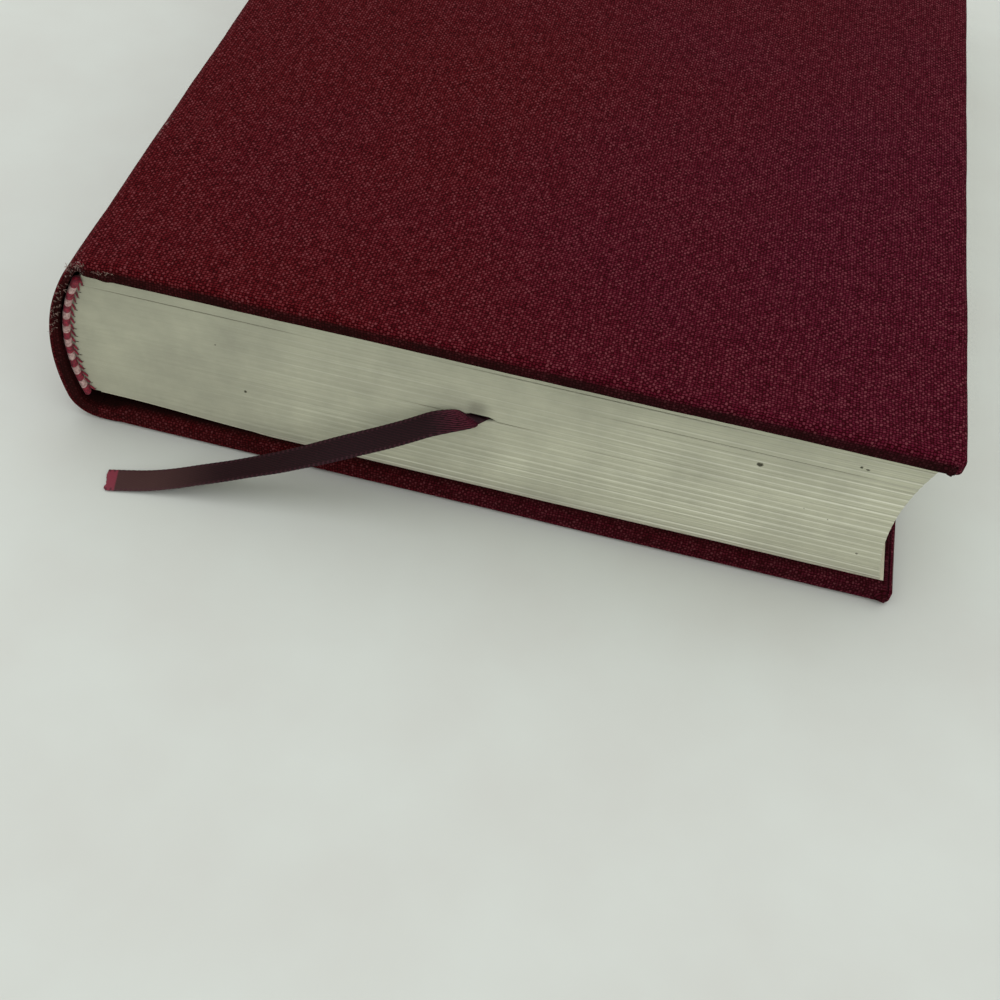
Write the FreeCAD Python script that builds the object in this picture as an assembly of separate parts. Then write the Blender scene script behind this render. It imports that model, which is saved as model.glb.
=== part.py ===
import FreeCAD, Part
import math
import os

# A cloth-bound hardback book lying closed on its back cover, front cover up.
# Millimetres. X runs from the spine to the fore edge, Y from the tail to the head, Z up.
# The origin is under the middle of the closed book, on the surface that it lies on.

# Pages
page_width = 147.3        # from the middle of the rounded back to the middle of the hollow fore edge
page_height = 210.0
block_thickness = 30.8    # the sewn pages, without their endpapers
back_radius = 34.0        # the rounded back of the pages
back_sag = 2.5            # the middle of its curve has slumped this far under mid-height
fore_hollow = 2.9         # how far the fore edge curves in between its two corners
endpaper = 0.15           # one leaf of the endpapers
flyleaf_set_back = 1.5    # the flyleaf starts this far in from the corner of the back
lean = 1.0                # the closed book has slumped: the back cover lies this much nearer the spine

# Case
board_thickness = 2.8
cloth = 0.35
joint_set_back = 8.7      # the covers start this far in from the middle of the back
fore_square = 2.1         # the cover stands past the pages by this much at the fore edge
tail_square = 2.4         # and by this much at the head and the tail
turn_in = 15.0            # cloth folded over onto the inside
edge_rounding = 1.4       # cloth drawn over the board's arrises and corners
fold_rounding = 0.3       # cloth folded over on itself at the head and tail of the spine
joint_rounding = 0.15     # the same fold beside the boards, where it is pressed flatter
inlay_thickness = 0.8     # card that stiffens the spine
spine_radius = 39.8
spine_sag = 4.1           # the middle of the spine's curve has slumped this far under mid-height
front_shoulder = 3.0      # radius between the spine and the front joint
back_shoulder = 6.0       # the same at the back joint, which the slump has opened
front_groove = 0.6        # the front joint lies this far below the cover's face
back_groove = 0.15        # the back joint is pressed flat by the table
joint_slope = 1.2         # the cloth comes down to the joint over this much of the board
hinge_gap = 0.3           # each side of the line that a cover turns on
cover_clearance = 0.15    # an opened cover passes over the shoulder with this much room
closing_gap = 0.05        # between a closed cover and the flyleaf

# Back of the pages
glue_line = 0.05          # between the pages and what is glued to their back
mull_thickness = 0.3      # starched gauze, and the tapes of the headbands beside it
mull_end_gap = 16.0       # the gauze stops this far from the head and the tail
mull_flange = 25.0        # gauze glued down onto each board
lining_thickness = 0.25   # kraft paper over the gauze
lining_end_gap = 2.0
hollow_gap = 0.9          # the spine of the case isn't stuck to the pages
back_trim_angle = 3.5     # degrees: what is glued to the back stops this short of its corners

# Headbands
bead_radius = 0.65
bead_sides = 12
bead_core_radius = 0.35
bead_core_sides = 6
bead_stand_off = 0.3      # the bead's middle, outside the surface of the back
stripe_pairs = 9          # each a red stripe with a white one above it
stripe_slant = 20.0       # degrees
band_low_trim = 0.3       # degrees: the band stops this short of the lower corner of the back
band_high_trim = 4.0      # and this short of the upper one
tape_length = 14.0        # the band's tape, glued down the back

# Ribbon
ribbon_width = 5.0
ribbon_thickness = 0.3
slot_clearance = 0.05     # between the ribbon and the two pages that it lies between
ribbon_height = 19.6      # of the pair of pages that the ribbon lies between
ribbon_exit_from_edge = 78.5
ribbon_anchor_from_edge = 143.0
ribbon_anchor_from_head = 12.0
ribbon_tongue = 2.3       # sticks out past the pages before it is folded aside

# The free ribbon's route, from the fold to the cut end, as (from the fore edge, from the tail, up).
# Its points lie over one straight line on the table, because a flat ribbon bends one way only.
ribbon_route = [
    (-78.6, -0.6, 19.92), (-86.0, -2.3, 19.92), (-95.0, -4.4, 16.3), (-104.5, -6.6, 11.7),
    (-114.0, -8.8, 6.7), (-123.5, -11.0, 3.0), (-132.5, -13.1, 0.9), (-141.6, -15.2, 0.3),
]
arc_share = 0.45          # of the shorter run, on each side of a point, is taken up by its arc

# Cutting solids reach past what they cut, and two faces nearer than this are in one plane.
overreach = 1.0
same_plane = 0.001

# Sizes that follow
stripe_count = 2 * stripe_pairs
cover_thickness = board_thickness + 2 * cloth + endpaper
cover_height = page_height + 2 * tail_square
cover_width = page_width + fore_hollow + fore_square - joint_set_back
pages_bottom = cover_thickness + closing_gap + endpaper
pages_top = pages_bottom + block_thickness
thickness = pages_bottom + pages_top
case_spine = cloth + inlay_thickness + cloth
back_layers = glue_line + mull_thickness + lining_thickness + hollow_gap + case_spine
tail_y = -page_height / 2
head_y = page_height / 2
half_cover = cover_height / 2
half_bare = half_cover - cloth - turn_in


def point(x, z):
    return FreeCAD.Vector(x, 0, z)


def leaning(z):
    """How far the slump has carried the book towards the spine at this height."""
    return -lean * (1 - z / thickness)


# Places along X are first counted from the front cover's fore edge, then moved to the origin.
back_from_edge = -(fore_square + fore_hollow + page_width) + leaning(thickness / 2)
spine_from_edge = back_from_edge - back_layers
spine_bulge = spine_radius - math.sqrt(spine_radius ** 2 - spine_sag ** 2)
fore_x = (spine_bulge - spine_from_edge) / 2


def face_of(edges):
    return Part.Face(Part.Wire(Part.sortEdges(edges)[0]))


def line(a, b):
    return Part.LineSegment(a, b).toShape()


def arc(a, through, b):
    return Part.Arc(a, through, b).toShape()


def along_y(face, y0, y1):
    """The solid that a face of the XZ plane sweeps from y0 to y1."""
    moved = face.copy()
    moved.translate(FreeCAD.Vector(0, y0, 0))
    return moved.extrude(FreeCAD.Vector(0, y1 - y0, 0))


def block(x, y, z):
    """A box from three pairs of limits."""
    corner = FreeCAD.Vector(x[0], y[0], z[0])
    return Part.makeBox(x[1] - x[0], y[1] - y[0], z[1] - z[0], corner)


def polygon(corners):
    return Part.Face(Part.makePolygon(corners + corners[:1]))


def prism(outline, z0, z1):
    """A prism from z0 to z1 on an outline given as (x, y) pairs."""
    corners = [FreeCAD.Vector(x, y, z0) for x, y in outline]
    return polygon(corners).extrude(FreeCAD.Vector(0, 0, z1 - z0))


class Round:
    """A rounded face seen along Y. The centre of its circle lies under mid-height by the sag."""

    def __init__(self, radius, sag, middle_x):
        self.radius = radius
        self.x = middle_x + math.sqrt(radius ** 2 - sag ** 2)
        self.z = thickness / 2 - sag

    def at(self, out, angle):
        """A point this far outside the circle; the angle is counted from -X, up."""
        radius = self.radius + out
        return point(self.x - radius * math.cos(angle), self.z + radius * math.sin(angle))

    def angle_at(self, out, z):
        return math.asin((z - self.z) / (self.radius + out))

    def arc_at(self, out, low, high):
        return arc(self.at(out, low), self.at(out, (low + high) / 2), self.at(out, high))

    def layer(self, inner, outer, low, high):
        """A face between two distances outside the circle and two angles."""
        return face_of([
            self.arc_at(inner, low, high),
            line(self.at(inner, high), self.at(outer, high)),
            self.arc_at(outer, low, high),
            line(self.at(outer, low), self.at(inner, low)),
        ])


back = Round(back_radius, back_sag, fore_x + back_from_edge)
spine = Round(spine_radius, spine_sag, fore_x + spine_from_edge)
low_end, high_end = [back.angle_at(0, z) for z in (pages_bottom, pages_top)]
low_corner, high_corner = back.at(0, low_end), back.at(0, high_end)


class Joint:
    """Where the cloth turns from the spine into the groove beside one board."""

    def __init__(self, side, groove, shoulder, shift):
        """Side is 1 at the front cover and -1 at the back cover, which the lean has shifted."""
        self.side = side
        self.groove = groove
        self.shoulder = shoulder
        self.shift = shift
        self.groove_z = thickness - groove if side > 0 else groove
        self.angle = spine.angle_at(-shoulder, self.groove_z - side * shoulder)
        self.fold = spine.at(-shoulder, self.angle)
        board_x = fore_x - cover_width + shift
        outer_z = thickness if side > 0 else 0
        self.hinge_x = (self.fold.x + board_x) / 2
        self.hinge_z = (outer_z + self.groove_z + side * cover_clearance) / 2
        self.hinge_to_board = board_x - self.hinge_x

    def path(self, depth):
        """Groove line and shoulder arc at a depth under the cloth's outer face, from the hinge in."""
        z = self.groove_z - self.side * depth
        start = point(self.fold.x, z)
        end = spine.at(-depth, self.angle)
        way = (start - self.fold).normalize() + (end - self.fold).normalize()
        middle = self.fold + way.normalize() * (self.shoulder - depth)
        hinge_end = point(self.hinge_x - hinge_gap, z)
        return [line(hinge_end, start), arc(start, middle, end)], hinge_end


front_joint = Joint(1, front_groove, front_shoulder, 0)
back_joint = Joint(-1, back_groove, back_shoulder, -lean)


def case_layer(shallow, deep):
    """The spine of the case between two depths, from one hinge line to the other."""
    edges = []
    ends = {}
    for depth in (shallow, deep):
        front_edges, ends[1, depth] = front_joint.path(depth)
        back_edges, ends[-1, depth] = back_joint.path(depth)
        spine_arc = spine.arc_at(-depth, back_joint.angle, front_joint.angle)
        edges += front_edges + back_edges + [spine_arc]
    for side in (1, -1):
        edges.append(line(ends[side, shallow], ends[side, deep]))
    return face_of(edges)


def rounded_ends(solid, radius, is_outer):
    """Rounds the edges in the end planes at the head and the tail that pass the test."""

    def at_end(edge):
        box = edge.BoundBox
        flat = box.YLength < same_plane
        return flat and any(abs(box.YMin - y) < same_plane for y in (-half_cover, half_cover))

    edges = [edge for edge in solid.Edges if at_end(edge) and is_outer(edge)]
    return solid.makeFillet(radius, edges)


def text_block():
    """The sewn pages: rounded back, hollow fore edge, and the slot that the ribbon lies in."""
    fore = [point(fore_x - fore_square + leaning(z), z) for z in (pages_bottom, pages_top)]
    fore_middle = point(fore_x - fore_square - fore_hollow + leaning(thickness / 2), thickness / 2)
    outline = face_of([
        line(low_corner, fore[0]),
        arc(fore[0], fore_middle, fore[1]),
        line(fore[1], high_corner),
        back.arc_at(0, low_end, high_end),
    ])
    return along_y(outline, tail_y, head_y).cut(held_ribbon(slot_clearance))


def flyleaf(corner, side):
    """A free endpaper leaf, flat on the pages from one corner of the back."""
    x = (corner.x + flyleaf_set_back, fore_x - fore_square + leaning(corner.z))
    return block(x, (tail_y, head_y), sorted((corner.z, corner.z + side * endpaper)))


def glued_layer(inner, outer, end_gap):
    """A layer on the back between two distances, trimmed short of its corners and its ends."""
    trim = math.radians(back_trim_angle)
    layer = back.layer(inner, outer, low_end + trim, high_end - trim)
    return along_y(layer, tail_y + end_gap, head_y - end_gap)


def spine_mull():
    """Open-weave gauze glued along the middle of the back."""
    return glued_layer(glue_line, glue_line + mull_thickness, mull_end_gap)


def spine_lining():
    """Kraft paper over the gauze and the headbands' tapes."""
    inner = glue_line + mull_thickness
    return glued_layer(inner, inner + lining_thickness, lining_end_gap)


def spine_inlay():
    """Card that keeps the round of the spine, inside the cloth."""
    layer = spine.layer(-cloth - inlay_thickness, -cloth, back_joint.angle, front_joint.angle)
    return along_y(layer, cloth - half_cover, half_cover - cloth)


def spine_cloth():
    """The spine of the case: one layer of cloth, doubled over the card at the head and the tail."""
    mid_cloth = -cloth / 2
    lip = cloth / spine_radius
    over_card = spine.layer(
        -case_spine, mid_cloth, back_joint.angle - lip, front_joint.angle + lip)

    def is_outer(edge):
        middle = edge.valueAt((edge.FirstParameter + edge.LastParameter) / 2)
        out = math.hypot(middle.x - spine.x, middle.z - spine.z) - spine_radius
        return edge.Length > hinge_gap + cloth and out > mid_cloth

    doubled = along_y(case_layer(0, 2 * cloth), -half_cover, half_cover)
    doubled = doubled.fuse(along_y(over_card, -half_cover, half_cover)).removeSplitter()
    doubled = rounded_ends(doubled, fold_rounding, is_outer)
    case_x = (-fore_x - overreach, 0)
    case_z = (-overreach, thickness + overreach)
    ends = doubled.cut(block(case_x, (-half_bare, half_bare), case_z))
    middle_y = (-half_bare - overreach, half_bare + overreach)
    single = along_y(case_layer(0, cloth), *middle_y)
    return ends.fuse(single).cut(spine_inlay()).removeSplitter()


def bead_place(angle, y, slant):
    """The bead's middle, and the two ways across it in a plane that leans by the slant."""
    middle = back.at(bead_stand_off, angle) + FreeCAD.Vector(0, y, 0)
    outward = FreeCAD.Vector(-math.cos(angle), 0, math.sin(angle))
    rise = math.tan(slant)
    sideways = FreeCAD.Vector(rise * math.sin(angle), 1, rise * math.cos(angle))
    return middle, outward, sideways


def bead_section(place, radius, sides):
    """Across the bead; its thread is wound in flat facets, fewer on the core than outside."""
    middle, outward, sideways = place
    turns = [2 * math.pi * corner / sides for corner in range(sides)]
    ways = [outward * math.cos(turn) + sideways * math.sin(turn) for turn in turns]
    corners = [middle + way * radius for way in ways]
    return Part.makePolygon(corners + corners[:1])


def headband(end):
    """Core, tape and the two colours of silk wound round the core; end is 1 at the head."""
    low = low_end + math.radians(band_low_trim)
    high = high_end - math.radians(band_high_trim)
    pages_end = end * page_height / 2
    y = pages_end + end * bead_radius
    slant = math.radians(stripe_slant)
    angles = [low + (high - low) * number / stripe_count for number in range(stripe_count + 1)]
    places = [bead_place(angle, y, slant) for angle in angles]
    outer = [bead_section(place, bead_radius, bead_sides) for place in places]
    inner = [bead_section(place, bead_core_radius, bead_core_sides) for place in places]
    stripes = []
    for number in range(stripe_count):
        silk = Part.makeLoft(outer[number:number + 2], True, True)
        stripes.append(silk.cut(Part.makeLoft(inner[number:number + 2], True, True)))
    tape = back.layer(glue_line, glue_line + mull_thickness, low, high)
    return {
        "core": Part.makeLoft(inner, True, True),
        "tape": along_y(tape, *sorted((pages_end, pages_end - end * tape_length))),
        "red": Part.makeCompound(stripes[0::2]),
        "white": Part.makeCompound(stripes[1::2]),
    }


def held_ribbon(room=0.0):
    """The ribbon's hidden stretch, slanting between two pages from its anchor to past the tail."""
    exit_x = fore_x - ribbon_exit_from_edge
    anchor_x = fore_x - ribbon_anchor_from_edge
    anchor_y = head_y - ribbon_anchor_from_head + room
    end_y = tail_y - ribbon_tongue - room
    way = FreeCAD.Vector(exit_x - anchor_x, tail_y - anchor_y, 0)
    half_slant = (ribbon_width / 2 + room) * way.Length / abs(way.y)
    end_x = exit_x + way.x * (end_y - tail_y) / way.y
    outline = [
        (anchor_x - half_slant, anchor_y), (anchor_x + half_slant, anchor_y),
        (end_x + half_slant, end_y), (end_x - half_slant, end_y),
    ]
    low = ribbon_height - ribbon_thickness / 2 - room
    return prism(outline, low, low + ribbon_thickness + 2 * room)


def ribbon_path(route):
    """Straight runs joined by tangent arcs, each as large as its two runs allow."""
    edges = []
    place = route[0]
    for before, here, after in zip(route, route[1:], route[2:]):
        into, out = here - before, after - here
        turn = into.getAngle(out)
        trim = arc_share * min(into.Length, out.Length)
        radius = trim / math.tan(turn / 2)
        into.normalize()
        out.normalize()
        start, end = here - into * trim, here + out * trim
        inward = (out - into).normalize()
        middle = here + inward * (radius / math.cos(turn / 2) - radius)
        edges += [line(place, start), arc(start, middle, end)]
        place = end
        print("ribbon arc radius %.1f mm" % radius)
    edges.append(line(place, route[-1]))
    return Part.Wire(edges)


def free_ribbon():
    """The free stretch: a flat section carried down its route and onto the table."""
    route = [FreeCAD.Vector(x + fore_x, y - half_cover, z) for x, y, z in ribbon_route]
    path = ribbon_path(route)
    start, ahead = route[0], (route[1] - route[0]).normalize()
    plan = route[-1] - start
    across = FreeCAD.Vector(-plan.y, plan.x, 0).normalize()
    side = across * (ribbon_width / 2)
    up = across.cross(ahead) * (ribbon_thickness / 2)
    corners = [start - side - up, start + side - up, start + side + up, start - side + up]
    solid = path.makePipeShell([Part.makePolygon(corners + corners[:1])], True, True)
    expected = path.Length * ribbon_width * ribbon_thickness
    print("ribbon %.1f mm long, volume %.1f of %.1f mm3" % (path.Length, solid.Volume, expected))
    return solid


# One cover is made in the front cover's place, and the back cover is turned over from there.
joint_x = fore_x - cover_width
board_low = thickness - cloth - board_thickness
inside = board_low - cloth
fore_fold = fore_x - cloth - turn_in


def drawn_over(solid, radius, joint_drop, below):
    """A cover's solid with rounded outer arrises, sloping down to the joint by the drop."""
    box = solid.BoundBox

    def is_rounded(edge):
        ends = edge.BoundBox
        outside = ends.ZMin > box.ZMax - same_plane
        upright = ends.XMin > box.XMax - same_plane and ends.ZLength > same_plane
        return (outside or upright) and ends.XMax > box.XMin + same_plane

    solid = solid.makeFillet(radius, [edge for edge in solid.Edges if is_rounded(edge)])
    slope_end = joint_x + joint_slope
    past_joint = joint_x - overreach
    top = thickness - below
    low = top - joint_drop * (slope_end - past_joint) / joint_slope
    outline = [
        point(slope_end, top), point(slope_end, top + overreach),
        point(past_joint, top + overreach), point(past_joint, low),
    ]
    past_ends = half_cover + overreach
    return solid.cut(along_y(polygon(outline), -past_ends, past_ends))


def board(groove):
    solid = block(
        (joint_x + cloth, fore_x - cloth), (cloth - half_cover, half_cover - cloth),
        (board_low, thickness - cloth))
    return drawn_over(solid, edge_rounding - cloth, groove, cloth)


def cloth_over_board(groove):
    """Cloth round the board and its turn-ins, open inside and over the joint's stretch."""
    wrap = block((joint_x, fore_x), (-half_cover, half_cover), (inside, thickness))
    wrap = drawn_over(wrap, edge_rounding, groove, 0)
    bare_y = (-half_bare, half_bare)
    opening = block((joint_x - overreach, fore_fold), bare_y, (inside - overreach, board_low))
    below_groove = thickness - groove - cloth
    joint_side = block((joint_x - overreach, joint_x + cloth), bare_y, (inside - overreach, below_groove))
    return wrap.cut(opening).cut(joint_side)


def cloth_in_joint(joint):
    """The strip of cloth from the board along the groove to the hinge line."""
    z = thickness - joint.groove
    x = (joint_x - joint.hinge_to_board + hinge_gap, joint_x + cloth)
    doubled = block(x, (-half_cover, half_cover), (z - 2 * cloth, z))
    past_strip = (x[0] - overreach, x[1] + overreach)
    single = block(past_strip, (-half_bare, half_bare), (z - overreach, z - cloth))
    strip = doubled.cut(single)
    return rounded_ends(strip, joint_rounding, lambda edge: edge.BoundBox.ZMin > z - same_plane)


def mull_on_board():
    """The gauze's flange, glued to the board under the pastedown."""
    x = (joint_x + cloth, joint_x + cloth + mull_flange)
    return block(x, (tail_y + mull_end_gap, head_y - mull_end_gap), (board_low - mull_thickness, board_low))


def pastedown():
    """The endpaper glued inside the cover: over the turn-ins, and pressed onto the bare board."""
    page = block((joint_x + cloth, fore_x - fore_square), (tail_y, head_y), (inside - endpaper, inside))
    bare_x = (joint_x + cloth + mull_flange, fore_fold)
    pressed = block(bare_x, (-half_bare, half_bare), (inside - endpaper, board_low))
    hollow = block(
        (bare_x[0] + endpaper, bare_x[1] - endpaper), (endpaper - half_bare, half_bare - endpaper),
        (inside - overreach, board_low - endpaper))
    return page.fuse(pressed).cut(hollow).removeSplitter()


def cover(joint):
    """The pieces of one cover."""
    solid_board = board(joint.groove)
    wrapped = cloth_over_board(joint.groove).fuse(cloth_in_joint(joint))
    pieces = {
        "board": solid_board,
        "cover_cloth": wrapped.cut(solid_board).removeSplitter(),
        "mull_flange": mull_on_board(),
        "pastedown": pastedown(),
    }
    if joint.side < 0:
        for name, piece in pieces.items():
            turned = piece.mirror(point(0, thickness / 2), FreeCAD.Vector(0, 0, 1))
            turned.translate(point(joint.shift, 0))
            pieces[name] = turned
    return pieces


def all_pieces():
    """Every piece of the book under the name of its node."""
    pieces = {
        "text_block": text_block(),
        "front_flyleaf": flyleaf(high_corner, 1),
        "back_flyleaf": flyleaf(low_corner, -1),
        "spine_mull": spine_mull(),
        "spine_lining": spine_lining(),
        "spine_inlay": spine_inlay(),
        "spine_cloth": spine_cloth(),
        "ribbon_in_pages": held_ribbon(),
        "ribbon_free_end": free_ribbon(),
    }
    for name, joint in (("front", front_joint), ("back", back_joint)):
        for piece, solid in cover(joint).items():
            pieces[name + "_" + piece] = solid
    for name, end in (("tail", -1), ("head", 1)):
        for piece, solid in headband(end).items():
            pieces[name + "band_" + piece] = solid
    return pieces


os.makedirs("parts", exist_ok=True)
for node, shape in all_pieces().items():
    shape.exportStep("parts/%s.step" % node)
    box = shape.BoundBox
    print("%-18s %2d solid(s)  x %.2f..%.2f  y %.2f..%.2f  z %.2f..%.2f  valid %s" % (
        node, len(shape.Solids), box.XMin, box.XMax, box.YMin, box.YMax, box.ZMin, box.ZMax,
        shape.isValid()))
print("thickness %.2f, width %.2f, height %.2f" % (thickness, 2 * fore_x, cover_height))
for name, joint in (("front", front_joint), ("back", back_joint)):
    print("%s hinge at x %.3f, z %.3f" % (name, joint.hinge_x, joint.hinge_z))
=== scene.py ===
import bpy
import numpy as np
from mathutils import Matrix, Vector


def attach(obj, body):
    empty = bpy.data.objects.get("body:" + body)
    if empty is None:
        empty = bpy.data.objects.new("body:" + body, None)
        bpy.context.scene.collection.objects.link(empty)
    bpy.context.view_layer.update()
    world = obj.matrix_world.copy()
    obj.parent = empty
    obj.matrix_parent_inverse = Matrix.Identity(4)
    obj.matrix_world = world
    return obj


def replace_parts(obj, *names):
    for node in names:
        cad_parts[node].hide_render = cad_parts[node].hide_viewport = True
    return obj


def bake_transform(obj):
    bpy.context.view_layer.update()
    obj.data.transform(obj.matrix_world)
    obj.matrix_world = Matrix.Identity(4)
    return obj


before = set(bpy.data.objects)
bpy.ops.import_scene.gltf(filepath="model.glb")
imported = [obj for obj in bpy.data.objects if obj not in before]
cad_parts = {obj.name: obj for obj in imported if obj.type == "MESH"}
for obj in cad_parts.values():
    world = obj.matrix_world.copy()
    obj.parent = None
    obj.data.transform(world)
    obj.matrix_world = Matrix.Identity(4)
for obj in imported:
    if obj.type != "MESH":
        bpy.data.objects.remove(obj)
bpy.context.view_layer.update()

mm = 0.001  # shapes are worked out in millimetres and put into the meshes in metres
random = np.random.default_rng(48)

# the closed book's own sizes, the same as in the part's source
book = dict(thickness=38.5, foreX=78.006, halfCover=107.4, halfPages=105.0, cloth=0.35,
            spineX=-38.206, spineZ=15.15, spineRadius=39.8, backX=-40.886, backZ=16.75, backRadius=34.0,
            jointX=-65.594, lean=1.0, pagesBottom=3.85, pagesTop=34.65)


# shared mesh helpers

def waves(u, v, size, seed, count=7):
    # slow unevenness from -1 to 1: a sum of sine waves of about this length in random directions
    pick = np.random.default_rng(seed)
    total = 0
    for turn, stretch, phase in zip(pick.uniform(0, 2 * np.pi, count), pick.uniform(0.6, 1.7, count),
                                    pick.uniform(0, 2 * np.pi, count)):
        total = total + np.sin((u * np.cos(turn) + v * np.sin(turn)) * 2 * np.pi / (size * stretch) + phase)
    return total / count ** 0.5 / 1.5


def smooth(value, low, high):
    t = np.clip((value - low) / (high - low), 0, 1)
    return t * t * (3 - 2 * t)


def gridFaces(rows, columns, closed=False):
    # quads between neighbouring rows and columns of a grid; closed joins the last row to the first
    number = np.arange(rows * columns).reshape(rows, columns)
    if closed:
        number = np.vstack([number, number[:1]])
    return np.stack([number[:-1, :-1], number[1:, :-1], number[1:, 1:], number[:-1, 1:]], -1).reshape(-1, 4)


def addPiece(name, points, faces, material, uv=None, sharp=False):
    # points in mm; uv in mm too, so that a weave keeps its real size
    mesh = bpy.data.meshes.new(name)
    mesh.from_pydata((np.asarray(points).reshape(-1, 3) * mm).tolist(), [], [list(face) for face in faces])
    if uv is not None:
        corner = np.empty(len(mesh.loops), int)
        mesh.loops.foreach_get("vertex_index", corner)
        layer = mesh.uv_layers.new(name="flat")
        layer.data.foreach_set("uv", np.asarray(uv).reshape(-1, 2)[corner].ravel())
    mesh.validate()
    piece = bpy.data.objects.new(name, mesh)
    bpy.context.scene.collection.objects.link(piece)
    piece.data.materials.append(material)
    if not sharp:
        mesh.polygons.foreach_set("use_smooth", np.ones(len(mesh.polygons), bool))
    mesh.update()
    return piece


def thicken(piece, thickness):
    shell = piece.modifiers.new("thickness", "SOLIDIFY")
    shell.thickness = thickness * mm
    shell.offset = -1
    return piece


def addMark(piece, name, amount):
    # a value at each point that a material reads
    mark = piece.data.attributes.new(name, "FLOAT", "POINT")
    mark.data.foreach_set("value", np.asarray(amount).ravel().astype(np.float32))


def addThreads(name, lines, radii, material):
    # round threads along lines: rings square to the line, thinner towards both closed ends
    turn = np.linspace(0, 2 * np.pi, 6, endpoint=False)[None, :, None]
    points, faces, count = [], [], 0
    for line, radius in zip(lines, radii):
        ahead = np.gradient(line, axis=0)
        ahead /= np.linalg.norm(ahead, axis=1)[:, None]
        side = np.cross(ahead, (0.3, 0.2, 0.93))
        side /= np.linalg.norm(side, axis=1)[:, None]
        up = np.cross(ahead, side)
        thin = radius * np.sin(np.linspace(0.2, np.pi - 0.2, len(line))) ** 0.35
        ring = line[:, None] + thin[:, None, None] * (np.cos(turn) * side[:, None] + np.sin(turn) * up[:, None])
        points.append(ring.reshape(-1, 3))
        number = np.arange(len(line) * 6).reshape(len(line), 6) + count
        around = np.hstack([number, number[:, :1]])
        quads = np.stack([around[:-1, :-1], around[:-1, 1:], around[1:, 1:], around[1:, :-1]], -1)
        faces += [list(quad) for quad in quads.reshape(-1, 4)] + [list(number[0][::-1]), list(number[-1])]
        count += len(line) * 6
    return addPiece(name, np.vstack(points), faces, material)


# shared material helpers

def colour(text):
    # an sRGB hex value turned to linear
    parts = [int(text[i:i + 2], 16) / 255 for i in (1, 3, 5)]
    return [p / 12.92 if p <= 0.04045 else ((p + 0.055) / 1.055) ** 2.4 for p in parts] + [1]


def newMaterial(name, **shaderValues):
    material = bpy.data.materials.new(name)
    material.use_nodes = True
    tree = material.node_tree
    shader = tree.nodes["Principled BSDF"]
    for socket, value in shaderValues.items():
        shader.inputs[socket.replace("_", " ")].default_value = value
    return material, tree, shader


def addNode(tree, kind, links, out=0, **settings):
    # one node: its settings, then a value or another node's output for each named or numbered socket
    node = tree.nodes.new("ShaderNode" + kind)
    for name, value in settings.items():
        setattr(node, name, value)
    for socket, value in links.items():
        if isinstance(value, bpy.types.NodeSocket):
            tree.links.new(value, node.inputs[socket])
        else:
            node.inputs[socket].default_value = value
    return node.outputs[out]


def fibrous(name, light, dark, scale, roughness=0.9):
    # pressed or woven fibres: soft mottling, with a grain as fine as the fibres
    material, tree, shader = newMaterial(name, Roughness=roughness, Specular_IOR_Level=0.15)
    place = addNode(tree, "TexCoord", {}, out=3)
    grain = addNode(tree, "TexNoise", {"Vector": place, "Scale": scale, "Detail": 6.0, "Roughness": 0.7})
    body = addNode(tree, "Mix", {0: addNode(tree, "MapRange", {0: grain, 1: 0.35, 2: 0.65}),
                                 6: colour(dark), 7: colour(light)}, out=2, data_type="RGBA")
    tree.links.new(body, shader.inputs["Base Color"])
    bump = addNode(tree, "Bump", {"Strength": 0.3, "Distance": 0.04 * mm, "Height": grain})
    tree.links.new(bump, shader.inputs["Normal"])
    return material


# book cloth: cotton in plain weave, dyed maroon and starched, so it is dull, with dark gaps between threads

# the near-black soil colour here is painted shade, with some soiling, for the folds at head and tail and the
# turn-ins
clothLook = dict(warpPitch=0.515, weftPitch=0.51, gap="#250204", red="#561016", purple="#521124",
                 crown="#7c484b", worn="#b9a29c", shadeAndSoilColour="#190a08", roughness=0.9)


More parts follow.
